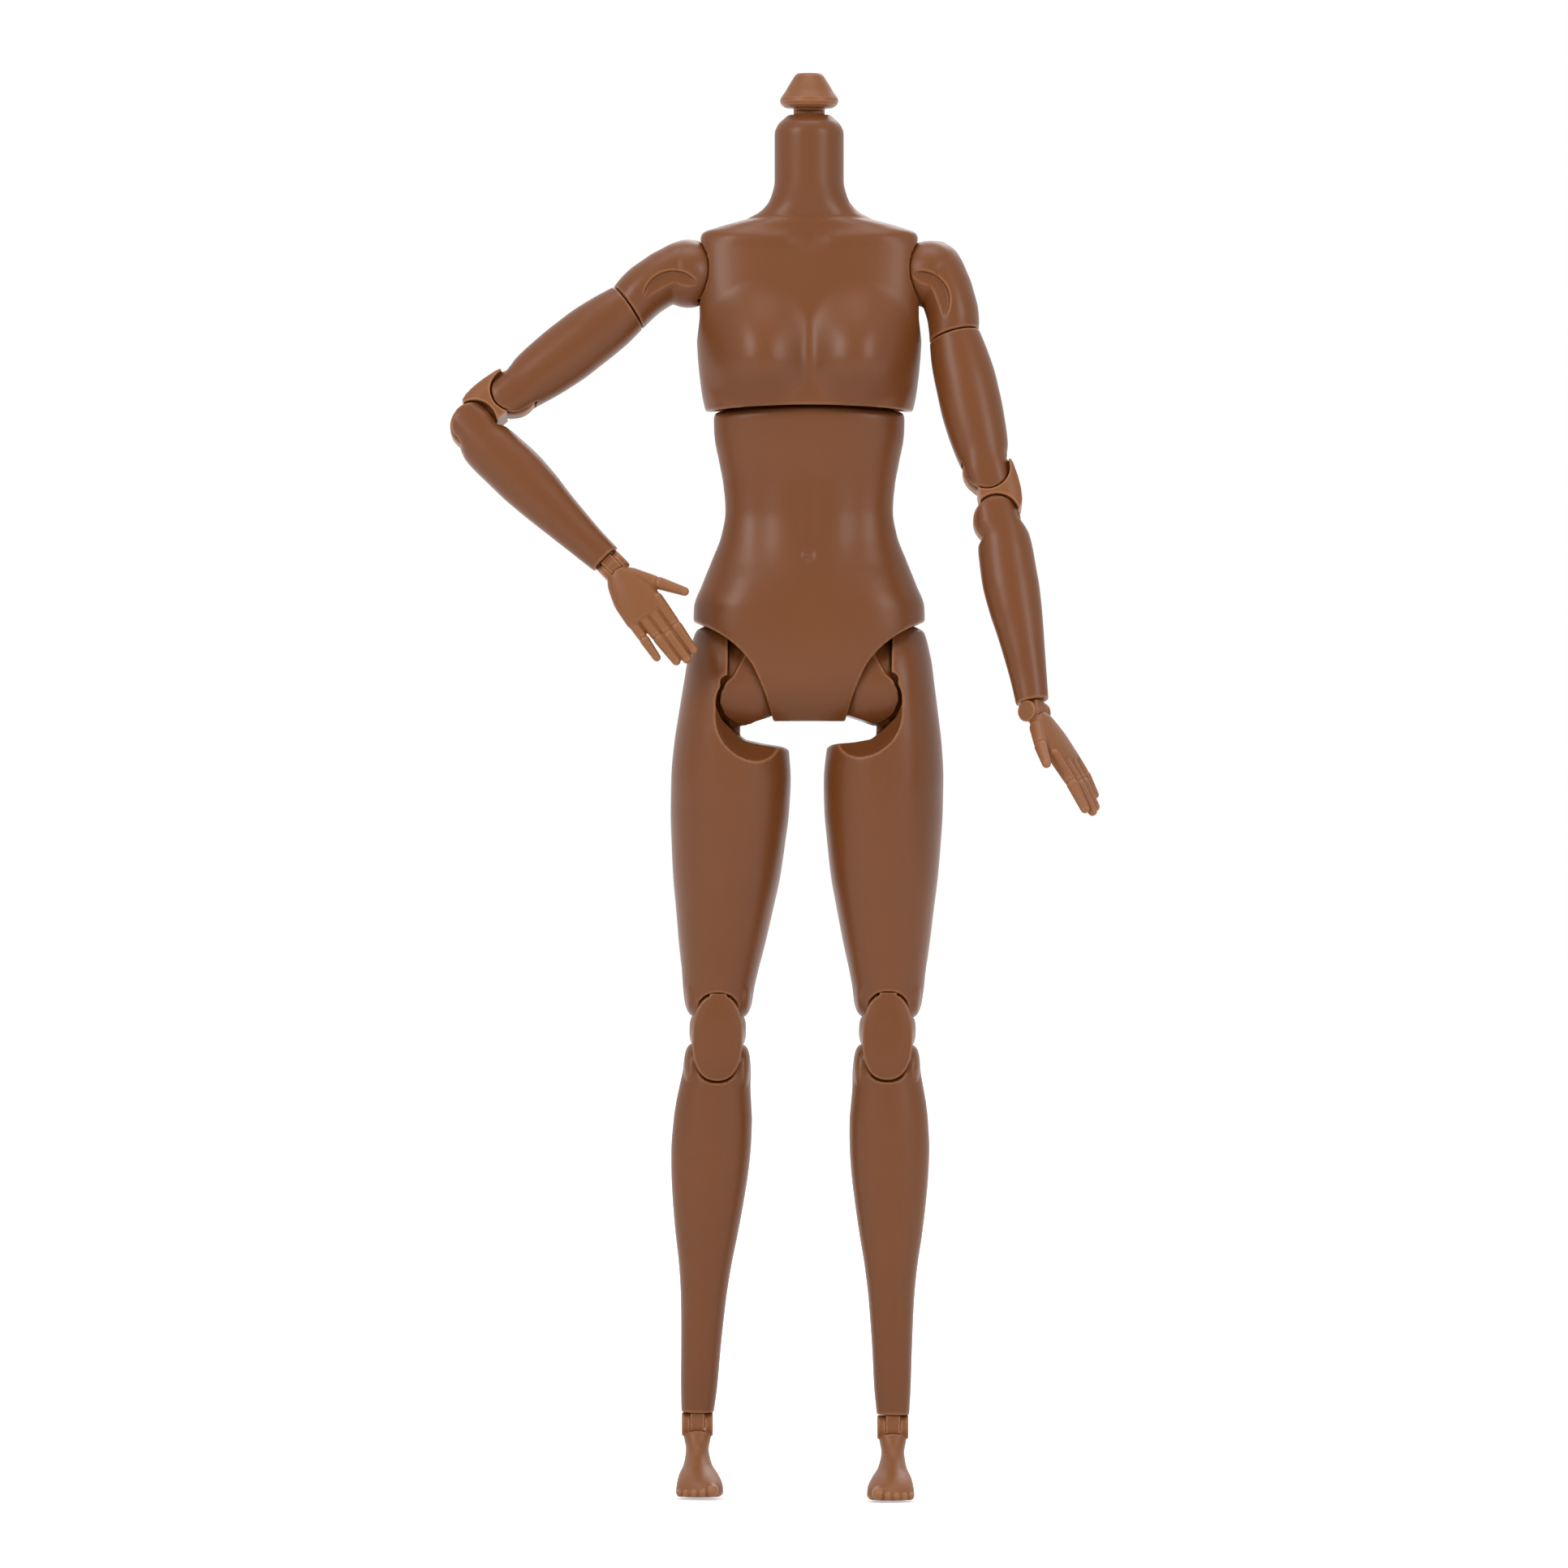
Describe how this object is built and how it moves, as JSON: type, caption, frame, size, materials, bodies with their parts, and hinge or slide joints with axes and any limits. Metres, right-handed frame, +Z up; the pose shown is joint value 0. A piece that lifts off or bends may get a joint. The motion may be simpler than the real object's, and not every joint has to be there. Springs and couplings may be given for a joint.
{
  "type": "articulated doll body",
  "caption": "Jointed one-sixth female doll body without a head, standing with one hand on its hip, with shoulders, elbows, wrists, waist, hips, knees, ankles and a neck knob that all move.",
  "frame": {"origin": "centre of the bounding box, at the level of the toes", "axes": "+Z up, the doll faces -Y, its own left side is +X"},
  "size_m": [0.1196, 0.0458, 0.265],
  "materials": {
    "body_plastic": "satin moulded plastic, brown",
    "joint_plastic": "satin moulded soft plastic, lighter brown",
    "pin_steel": "drawn steel pin"
  },
  "bodies": {
    "lower_body": {"pelvis_front": "body_plastic", "pelvis_back": "body_plastic", "waist_pin": "pin_steel", "hip_axle": "pin_steel"},
    "waist_link": {"waist_post": "body_plastic"},
    "chest": {"chest_front": "body_plastic", "chest_back": "body_plastic"},
    "neck_link": {"neck_post": "body_plastic", "neck_pin": "pin_steel"},
    "head_mount": {"head_knob": "joint_plastic"},
    "left_shoulder_link": {"left_shoulder_knuckle": "body_plastic", "left_shoulder_pin": "pin_steel"},
    "left_shoulder": {"left_shoulder_cap": "body_plastic"},
    "left_upper_arm_body": {"left_upper_arm": "body_plastic", "left_upper_elbow_pin": "pin_steel"},
    "left_elbow": {"left_elbow_link": "joint_plastic"},
    "left_forearm_body": {"left_forearm": "body_plastic", "left_lower_elbow_pin": "pin_steel"},
    "left_wrist": {"left_wrist_peg": "joint_plastic", "left_wrist_pin": "pin_steel"},
    "left_hand_body": {"left_hand": "joint_plastic"},
    "right_shoulder_link": {"right_shoulder_knuckle": "body_plastic", "right_shoulder_pin": "pin_steel"},
    "right_shoulder": {"right_shoulder_cap": "body_plastic"},
    "right_upper_arm_body": {"right_upper_arm": "body_plastic", "right_upper_elbow_pin": "pin_steel"},
    "right_elbow": {"right_elbow_link": "joint_plastic"},
    "right_forearm_body": {"right_forearm": "body_plastic", "right_lower_elbow_pin": "pin_steel"},
    "right_wrist": {"right_wrist_peg": "joint_plastic", "right_wrist_pin": "pin_steel"},
    "right_hand_body": {"right_hand": "joint_plastic"},
    "left_hip": {"left_hip_ball": "body_plastic", "left_hip_pin": "pin_steel"},
    "left_thigh_body": {"left_thigh": "body_plastic", "left_upper_knee_pin": "pin_steel"},
    "left_knee": {"left_knee_link": "body_plastic"},
    "left_shin_body": {"left_shin": "body_plastic", "left_lower_knee_pin": "pin_steel"},
    "left_ankle": {"left_ankle_peg": "joint_plastic", "left_ankle_pin": "pin_steel"},
    "left_foot_body": {"left_foot": "joint_plastic"},
    "right_hip": {"right_hip_ball": "body_plastic", "right_hip_pin": "pin_steel"},
    "right_thigh_body": {"right_thigh": "body_plastic", "right_upper_knee_pin": "pin_steel"},
    "right_knee": {"right_knee_link": "body_plastic"},
    "right_shin_body": {"right_shin": "body_plastic", "right_lower_knee_pin": "pin_steel"},
    "right_ankle": {"right_ankle_peg": "joint_plastic", "right_ankle_pin": "pin_steel"},
    "right_foot_body": {"right_foot": "joint_plastic"}
  },
  "joints": [
    {"name": "waist_bend", "type": "hinge", "parent": "lower_body", "child": "waist_link", "pos_m": [0.0068, 0.00947, 0.19498], "axis": [1, 0, 0], "range_deg": [-20, 12]},
    {"name": "waist_swivel", "type": "hinge", "parent": "waist_link", "child": "chest", "pos_m": [0.0068, 0.00947, 0.19498], "axis": [0, 0, 1], "range_deg": [-15, 15]},
    {"name": "neck_swivel", "type": "hinge", "parent": "chest", "child": "neck_link", "pos_m": [0.0068, 0.00947, 0.25328], "axis": [0, 0, 1], "range_deg": [-90, 90]},
    {"name": "neck_nod", "type": "hinge", "parent": "neck_link", "child": "head_mount", "pos_m": [0.0068, 0.00947, 0.25328], "axis": [1, 0, 0], "range_deg": [-12, 12]},
    {"name": "left_shoulder_swing", "type": "hinge", "parent": "chest", "child": "left_shoulder_link", "pos_m": [0.0293, 0.00947, 0.22758], "axis": [1, 0, 0], "range_deg": [-165, 75]},
    {"name": "left_shoulder_lift", "type": "hinge", "parent": "left_shoulder_link", "child": "left_shoulder", "pos_m": [0.0293, 0.00947, 0.22758], "axis": [0, -0.9659, 0.2588], "range_deg": [-6, 80]},
    {"name": "left_arm_swivel", "type": "hinge", "parent": "left_shoulder", "child": "left_upper_arm_body", "pos_m": [0.03267, 0.00622, 0.21545], "axis": [-0.2588, 0.25, 0.933], "range_deg": [-90, 90]},
    {"name": "left_upper_elbow_bend", "type": "hinge", "parent": "left_upper_arm_body", "child": "left_elbow", "pos_m": [0.0396, -0.00048, 0.19045], "axis": [0, 0.9659, -0.2588], "range_deg": [-3.7, 65]},
    {"name": "left_lower_elbow_bend", "type": "hinge", "parent": "left_elbow", "child": "left_forearm_body", "pos_m": [0.04152, -0.00296, 0.18117], "axis": [0, -0.9659, 0.2588], "range_deg": [-95, 0.9]},
    {"name": "left_wrist_twist", "type": "hinge", "parent": "left_forearm_body", "child": "left_wrist", "pos_m": [0.04824, -0.01243, 0.14582], "axis": [-0.1805, 0.2546, 0.9501], "range_deg": [-90, 90]},
    {"name": "left_wrist_bend", "type": "hinge", "parent": "left_wrist", "child": "left_hand_body", "pos_m": [0.04824, -0.01243, 0.14582], "axis": [0.6322, 0.77, -0.0862], "range_deg": [-55, 55]},
    {"name": "right_shoulder_swing", "type": "hinge", "parent": "chest", "child": "right_shoulder_link", "pos_m": [-0.0157, 0.00947, 0.22758], "axis": [1, 0, 0], "range_deg": [-165, 5]},
    {"name": "right_shoulder_lift", "type": "hinge", "parent": "right_shoulder_link", "child": "right_shoulder", "pos_m": [-0.0157, 0.00947, 0.22758], "axis": [0, 0.9744, -0.225], "range_deg": [-8, 40]},
    {"name": "right_arm_swivel", "type": "hinge", "parent": "right_shoulder", "child": "right_upper_arm_body", "pos_m": [-0.02628, 0.00778, 0.22023], "axis": [-0.8141, -0.1306, -0.5658], "range_deg": [-8, 90]},
    {"name": "right_upper_elbow_bend", "type": "hinge", "parent": "right_upper_arm_body", "child": "right_elbow", "pos_m": [-0.0481, 0.00428, 0.20506], "axis": [0, -0.9744, 0.225], "range_deg": [-5.7, 18]},
    {"name": "right_lower_elbow_bend", "type": "hinge", "parent": "right_elbow", "child": "right_forearm_body", "pos_m": [-0.05547, 0.00282, 0.19877], "axis": [0, -0.9744, 0.225], "range_deg": [-93, 4]},
    {"name": "right_wrist_twist", "type": "hinge", "parent": "right_forearm_body", "child": "right_wrist", "pos_m": [-0.02954, -0.00318, 0.17279], "axis": [0.6972, -0.1613, -0.6985], "range_deg": [-90, 90]},
    {"name": "right_wrist_bend", "type": "hinge", "parent": "right_wrist", "child": "right_hand_body", "pos_m": [-0.02954, -0.00318, 0.17279], "axis": [0.713, 0.0541, 0.6991], "range_deg": [-55, 16]},
    {"name": "left_hip_swing", "type": "hinge", "parent": "lower_body", "child": "left_hip", "pos_m": [0.0221, 0.00947, 0.15168], "axis": [1, 0, 0], "range_deg": [-65, 25]},
    {"name": "left_hip_spread", "type": "hinge", "parent": "left_hip", "child": "left_thigh_body", "pos_m": [0.0221, 0.00947, 0.15168], "axis": [0, -0.9997, 0.0262], "range_deg": [-6, 28]},
    {"name": "left_upper_knee_bend", "type": "hinge", "parent": "left_thigh_body", "child": "left_knee", "pos_m": [0.02149, 0.00796, 0.0939], "axis": [0.9998, -0.0005, -0.0192], "range_deg": [0, 70]},
    {"name": "left_lower_knee_bend", "type": "hinge", "parent": "left_knee", "child": "left_shin_body", "pos_m": [0.02122, 0.00758, 0.07941], "axis": [0.9998, -0.0005, -0.0192], "range_deg": [0, 70]},
    {"name": "left_ankle_twist", "type": "hinge", "parent": "left_shin_body", "child": "left_ankle", "pos_m": [0.02234, 0.00584, 0.013], "axis": [0.0192, 0.0262, 0.9995], "range_deg": [-40, 40]},
    {"name": "left_ankle_bend", "type": "hinge", "parent": "left_ankle", "child": "left_foot_body", "pos_m": [0.02234, 0.00584, 0.013], "axis": [0.9998, -0.0005, -0.0192], "range_deg": [-45, 45]},
    {"name": "right_hip_swing", "type": "hinge", "parent": "lower_body", "child": "right_hip", "pos_m": [-0.0085, 0.00947, 0.15168], "axis": [1, 0, 0], "range_deg": [-65, 25]},
    {"name": "right_hip_spread", "type": "hinge", "parent": "right_hip", "child": "right_thigh_body", "pos_m": [-0.0085, 0.00947, 0.15168], "axis": [0, -0.9997, -0.0262], "range_deg": [-28, 5]},
    {"name": "right_upper_knee_bend", "type": "hinge", "parent": "right_thigh_body", "child": "right_knee", "pos_m": [-0.01011, 0.01099, 0.09392], "axis": [0.9998, 0.0005, -0.0192], "range_deg": [0, 70]},
    {"name": "right_lower_knee_bend", "type": "hinge", "parent": "right_knee", "child": "right_shin_body", "pos_m": [-0.01039, 0.01137, 0.07943], "axis": [0.9998, 0.0005, -0.0192], "range_deg": [0, 70]},
    {"name": "right_ankle_twist", "type": "hinge", "parent": "right_shin_body", "child": "right_ankle", "pos_m": [-0.01406, 0.0131, 0.01311], "axis": [-0.0192, 0.0262, -0.9995], "range_deg": [-40, 40]},
    {"name": "right_ankle_bend", "type": "hinge", "parent": "right_ankle", "child": "right_foot_body", "pos_m": [-0.01406, 0.0131, 0.01311], "axis": [0.9998, 0.0005, -0.0192], "range_deg": [-45, 45]}
  ]
}
